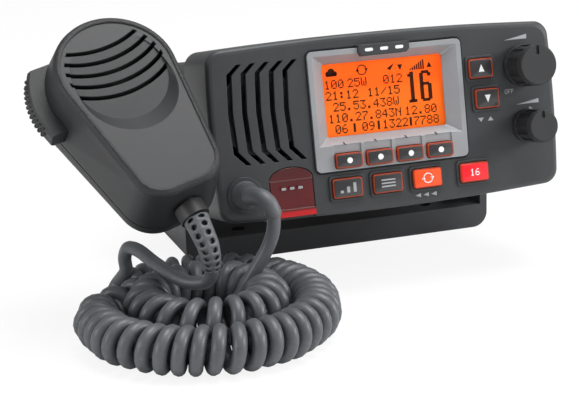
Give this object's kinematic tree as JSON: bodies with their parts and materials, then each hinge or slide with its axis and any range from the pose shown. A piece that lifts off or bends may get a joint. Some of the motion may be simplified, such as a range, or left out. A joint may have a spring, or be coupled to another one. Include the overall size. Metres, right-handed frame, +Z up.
{
  "type": "vhf marine radio",
  "caption": "Fixed-mount marine radio with orange display, knobs and keys, tilting in a gimbal bracket, and a hand microphone on a coiled curly cord.",
  "frame": {"origin": "middle of the bracket's four screw holes, on the mounting surface", "axes": "+Z up, away from the mounting surface; the front panel looks towards -Y; +X to the right seen from the front"},
  "size_m": [0.2629, 0.2485, 0.1357],
  "materials": {
    "bracket": "satin moulded",
    "body": "fine grain",
    "dark": "satin",
    "silver": "silver paint, satin",
    "window": "clear",
    "display": "backlit",
    "rubber": "matt",
    "key": "backlit rubber",
    "key_orange": "backlit rubber",
    "key_red": "backlit rubber",
    "cover_red": "translucent red",
    "button_red": "gloss",
    "chassis": "powder coat",
    "board": "solder mask",
    "components": "moulded",
    "steel": "plated",
    "ribbon": "film",
    "cone": "paper",
    "mic_face": "fine grain",
    "mic_back": "fine grain",
    "cord": "satin jacket",
    "boot": "satin"
  },
  "bodies": {
    "bracket": {"bracket": "bracket", "coil_outer": "cord", "coil_inner": "cord", "gland_lead": "cord", "mic_lead": "cord"},
    "radio": {"front_panel": "body", "panel_gasket": "rubber", "display_frame": "silver", "display_window": "window", "display_module": "display", "speaker_basket": "components", "speaker_cone": "cone", "speaker_magnet": "steel", "front_board": "board", "keypad_sheet": "rubber", "volume_control": "steel", "squelch_control": "steel", "distress_pin": "steel", "rear_housing": "chassis", "housing_screws": "steel", "main_board": "board", "board_parts": "components", "rf_shield": "steel", "ribbon_cable": "ribbon", "antenna_socket": "steel", "power_gland": "rubber", "accessory_gland": "rubber", "cord_gland": "cord"},
    "microphone": {"mic_front_shell": "mic_face", "mic_rear_shell": "mic_back", "mic_seal": "rubber", "mic_screws": "steel", "mic_board": "board", "mic_capsule": "steel", "talk_switch": "components", "mic_collar": "cord", "hang_stud": "steel", "mic_boot": "boot"},
    "clamp_left": {"clamp_knob_left": "dark"},
    "clamp_right": {"clamp_knob_right": "dark"},
    "volume": {"volume_knob": "dark", "volume_shaft": "steel"},
    "squelch": {"squelch_knob": "dark", "squelch_shaft": "steel"},
    "talk": {"talk_key": "dark"},
    "cover": {"distress_cover": "cover_red"},
    "distress": {"distress_button": "button_red"},
    "soft_key_1_body": {"soft_key_1": "key"},
    "soft_key_2_body": {"soft_key_2": "key"},
    "soft_key_3_body": {"soft_key_3": "key"},
    "soft_key_4_body": {"soft_key_4": "key"},
    "row_key_1_body": {"row_key_1": "key"},
    "row_key_2_body": {"row_key_2": "key"},
    "row_key_3_body": {"row_key_3": "key_orange"},
    "row_key_4_body": {"row_key_4": "key_red"},
    "arrow_key_up_body": {"arrow_key_up": "key"},
    "arrow_key_down_body": {"arrow_key_down": "key"}
  },
  "joints": [
    {"name": "radio_tilt", "type": "hinge", "parent": "bracket", "child": "radio", "pos_m": [0, 0, 0.063], "axis": [1, 0, 0], "range_deg": [-12, 7], "deforming": ["gland_lead"]},
    {"name": "clamp_left_turn", "type": "hinge", "parent": "radio", "child": "clamp_left", "pos_m": [0, 0, 0.063], "axis": [-1, 0, 0], "continuous": true},
    {"name": "clamp_right_turn", "type": "hinge", "parent": "radio", "child": "clamp_right", "pos_m": [0, 0, 0.063], "axis": [1, 0, 0], "continuous": true},
    {"name": "volume_turn", "type": "hinge", "parent": "radio", "child": "volume", "pos_m": [0.0695, -0.10311, 0.10017], "axis": [0, 0.9848, -0.1736], "range_deg": [-140, 140]},
    {"name": "squelch_turn", "type": "hinge", "parent": "radio", "child": "squelch", "pos_m": [0.07, -0.1081, 0.07191], "axis": [0, 0.9848, -0.1736], "range_deg": [-140, 140]},
    {"name": "soft_key_1_press", "type": "slide", "parent": "radio", "child": "soft_key_1_body", "axis": [0, 0.9848, -0.1736], "range_m": [0, 0.001], "stiffness_N_per_m": 600, "springref_m": -0.001},
    {"name": "soft_key_2_press", "type": "slide", "parent": "radio", "child": "soft_key_2_body", "axis": [0, 0.9848, -0.1736], "range_m": [0, 0.001], "stiffness_N_per_m": 600, "springref_m": -0.001},
    {"name": "soft_key_3_press", "type": "slide", "parent": "radio", "child": "soft_key_3_body", "axis": [0, 0.9848, -0.1736], "range_m": [0, 0.001], "stiffness_N_per_m": 600, "springref_m": -0.001},
    {"name": "soft_key_4_press", "type": "slide", "parent": "radio", "child": "soft_key_4_body", "axis": [0, 0.9848, -0.1736], "range_m": [0, 0.001], "stiffness_N_per_m": 600, "springref_m": -0.001},
    {"name": "row_key_1_press", "type": "slide", "parent": "radio", "child": "row_key_1_body", "axis": [0, 0.9848, -0.1736], "range_m": [0, 0.001], "stiffness_N_per_m": 600, "springref_m": -0.001},
    {"name": "row_key_2_press", "type": "slide", "parent": "radio", "child": "row_key_2_body", "axis": [0, 0.9848, -0.1736], "range_m": [0, 0.001], "stiffness_N_per_m": 600, "springref_m": -0.001},
    {"name": "row_key_3_press", "type": "slide", "parent": "radio", "child": "row_key_3_body", "axis": [0, 0.9848, -0.1736], "range_m": [0, 0.001], "stiffness_N_per_m": 600, "springref_m": -0.001},
    {"name": "row_key_4_press", "type": "slide", "parent": "radio", "child": "row_key_4_body", "axis": [0, 0.9848, -0.1736], "range_m": [0, 0.001], "stiffness_N_per_m": 600, "springref_m": -0.001},
    {"name": "arrow_key_up_press", "type": "slide", "parent": "radio", "child": "arrow_key_up_body", "axis": [0, 0.9848, -0.1736], "range_m": [0, 0.001], "stiffness_N_per_m": 600, "springref_m": -0.001},
    {"name": "arrow_key_down_press", "type": "slide", "parent": "radio", "child": "arrow_key_down_body", "axis": [0, 0.9848, -0.1736], "range_m": [0, 0.001], "stiffness_N_per_m": 600, "springref_m": -0.001},
    {"name": "distress_cover_flip", "type": "hinge", "parent": "radio", "child": "cover", "pos_m": [-0.0504, -0.10112, 0.05849], "axis": [-1, 0, 0], "range_deg": [0, 100], "stiffness_Nm_per_rad": 0.01, "springref_deg": -28.65},
    {"name": "distress_press", "type": "slide", "parent": "radio", "child": "distress", "axis": [0, 0.9848, -0.1736], "range_m": [0, 0.001], "stiffness_N_per_m": 600, "springref_m": -0.001},
    {"name": "mic_lean", "type": "hinge", "parent": "bracket", "child": "microphone", "pos_m": [-0.1005, -0.142, 0.035], "axis": [1, 0, 0], "range_deg": [-6, 30], "deforming": ["mic_boot"]},
    {"name": "talk_press", "type": "slide", "parent": "microphone", "child": "talk", "axis": [0.9557, 0.2066, 0.2096], "range_m": [0, 0.0016], "stiffness_N_per_m": 900, "springref_m": -0.002}
  ]
}
